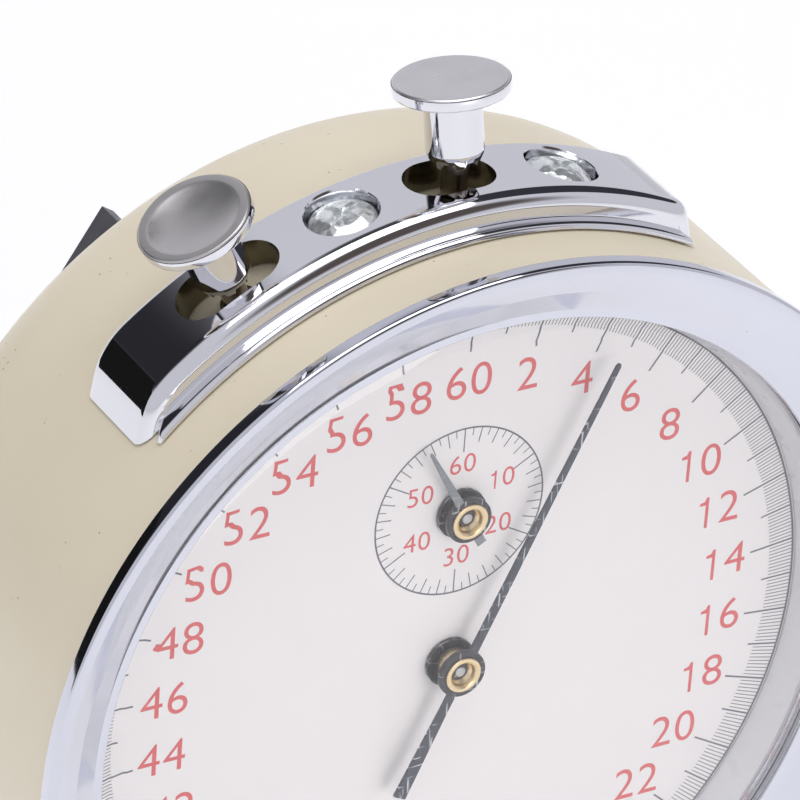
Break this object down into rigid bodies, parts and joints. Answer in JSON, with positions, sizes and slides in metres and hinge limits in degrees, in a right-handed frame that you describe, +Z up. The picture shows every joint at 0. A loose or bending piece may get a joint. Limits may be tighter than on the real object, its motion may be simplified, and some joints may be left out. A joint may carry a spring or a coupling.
{
  "type": "mechanical stop clock",
  "caption": "Round bench stopwatch with a domed crystal, seconds and minute hands, two push buttons on a chrome top bracket, a rear winding key and two feet.",
  "frame": {"origin": "centre of the footprint, on the surface that the feet stand on", "axes": "+Z up towards 12 o'clock, -Y out of the dial towards the reader, +X to the reader's right"},
  "size_m": [0.126, 0.078, 0.1505],
  "materials": {
    "cream_enamel": "gloss",
    "chrome": "polished",
    "steel": "satin",
    "brass": "satin",
    "blued_steel": "satin",
    "glass": "polished",
    "dial_white": "matte",
    "ring_grey": "satin",
    "key_grey": "satin",
    "rubber": "matte"
  },
  "bodies": {
    "case": {"case_drum": "cream_enamel", "back_cover": "chrome", "back_cover_screw_1": "steel", "back_cover_screw_2": "steel", "back_cover_screw_3": "steel", "bezel": "chrome", "crystal": "glass", "dial_ring": "ring_grey", "dial_plate": "dial_white", "dial_spacer": "steel", "movement_seat": "steel", "top_bracket": "chrome", "bracket_screw_left": "steel", "bracket_screw_right": "steel", "start_bush": "brass", "reset_bush": "brass", "foot_left": "chrome", "foot_right": "chrome", "foot_pad_left": "rubber", "foot_pad_right": "rubber", "movement_front_plate": "brass", "movement_back_plate": "brass", "pillar_1": "steel", "pillar_2": "steel", "pillar_3": "steel", "start_lever_stud": "steel", "hammer_stud": "steel", "click_stud": "steel"},
    "seconds_work": {"seconds_arbor": "steel", "fourth_wheel": "brass", "seconds_heart_cam": "steel", "seconds_hand": "blued_steel", "seconds_collet": "brass"},
    "minute_work": {"minute_arbor": "steel", "minute_wheel": "brass", "minute_heart_cam": "steel", "minute_hand": "blued_steel", "minute_collet": "brass"},
    "transfer_work": {"transfer_arbor": "steel", "transfer_wheel": "brass"},
    "third_work": {"third_arbor": "steel", "third_wheel": "brass"},
    "barrel": {"barrel_drum": "brass", "mainspring": "blued_steel"},
    "winding": {"winding_arbor": "steel", "ratchet_wheel": "steel", "winding_key": "key_grey"},
    "escape_work": {"escape_arbor": "steel", "escape_wheel": "brass"},
    "pallet": {"pallet_lever": "steel"},
    "balance": {"balance_staff": "steel", "balance_wheel": "brass", "hairspring": "blued_steel"},
    "start_plunger": {"start_button": "chrome", "start_button_pin": "steel"},
    "reset_plunger": {"reset_button": "chrome", "reset_button_pin": "steel"},
    "start_lever": {"start_stop_lever": "steel"},
    "hammer": {"reset_hammer": "steel"},
    "click_pawl": {"click": "steel"}
  },
  "joints": [
    {"name": "seconds_turn", "type": "hinge", "parent": "case", "child": "seconds_work", "pos_m": [0, -0.02627, 0.06995], "axis": [0, 1, 0], "continuous": true},
    {"name": "minute_turn", "type": "hinge", "parent": "case", "child": "minute_work", "pos_m": [0, -0.02627, 0.09215], "axis": [0, 1, 0], "continuous": true},
    {"name": "transfer_turn", "type": "hinge", "parent": "case", "child": "transfer_work", "pos_m": [0.01103, -0.02237, 0.07921], "axis": [0, 1, 0], "continuous": true},
    {"name": "third_turn", "type": "hinge", "parent": "case", "child": "third_work", "pos_m": [-0.018, -0.01317, 0.06972], "axis": [0, 1, 0], "continuous": true},
    {"name": "barrel_turn", "type": "hinge", "parent": "case", "child": "barrel", "pos_m": [-0.0275, -0.01057, 0.08845], "axis": [0, 1, 0], "continuous": true},
    {"name": "escape_turn", "type": "hinge", "parent": "case", "child": "escape_work", "pos_m": [0.01733, -0.00517, 0.07301], "axis": [0, 1, 0], "continuous": true},
    {"name": "key_turn", "type": "hinge", "parent": "case", "child": "winding", "pos_m": [-0.0275, 0.01632, 0.08845], "axis": [0, 1, 0], "continuous": true},
    {"name": "pallet_rock", "type": "hinge", "parent": "case", "child": "pallet", "pos_m": [0.02213, -0.00517, 0.08132], "axis": [0, 1, 0], "range_deg": [-5, 5]},
    {"name": "balance_swing", "type": "hinge", "parent": "case", "child": "balance", "pos_m": [0.02643, -0.01158, 0.08877], "axis": [0, 1, 0], "range_deg": [-220, 220], "stiffness_Nm_per_rad": 0.00001},
    {"name": "start_press", "type": "slide", "parent": "case", "child": "start_plunger", "axis": [-0.0035, 0, -1], "range_m": [0, 0.003], "stiffness_N_per_m": 500, "springref_m": -0.002},
    {"name": "start_lever_rock", "type": "hinge", "parent": "case", "child": "start_lever", "pos_m": [0.018, -0.01908, 0.11295], "axis": [0, -1, 0], "range_deg": [0, 10.6]},
    {"name": "reset_press", "type": "slide", "parent": "case", "child": "reset_plunger", "axis": [0.4664, 0, -0.8846], "range_m": [0, 0.003], "stiffness_N_per_m": 500, "springref_m": -0.002},
    {"name": "hammer_rock", "type": "hinge", "parent": "case", "child": "hammer", "pos_m": [-0.037, -0.01908, 0.09195], "axis": [0, 1, 0], "range_deg": [0, 8.5]},
    {"name": "click_lift", "type": "hinge", "parent": "case", "child": "click_pawl", "pos_m": [-0.02507, 0.00202, 0.07466], "axis": [0, 1, 0], "range_deg": [0, 12], "stiffness_Nm_per_rad": 0.002, "springref_deg": -11.46}
  ],
  "couplings": [
    {"joint": "minute_turn", "follows": "seconds_turn", "ratio": 0.016667},
    {"joint": "transfer_turn", "follows": "seconds_turn", "ratio": -0.125},
    {"joint": "third_turn", "follows": "seconds_turn", "ratio": -0.2},
    {"joint": "barrel_turn", "follows": "seconds_turn", "ratio": 0.033333},
    {"joint": "escape_turn", "follows": "seconds_turn", "ratio": -10},
    {"joint": "start_lever_rock", "follows": "start_press", "rad_per_m": 60},
    {"joint": "hammer_rock", "follows": "reset_press", "rad_per_m": 48.066}
  ]
}
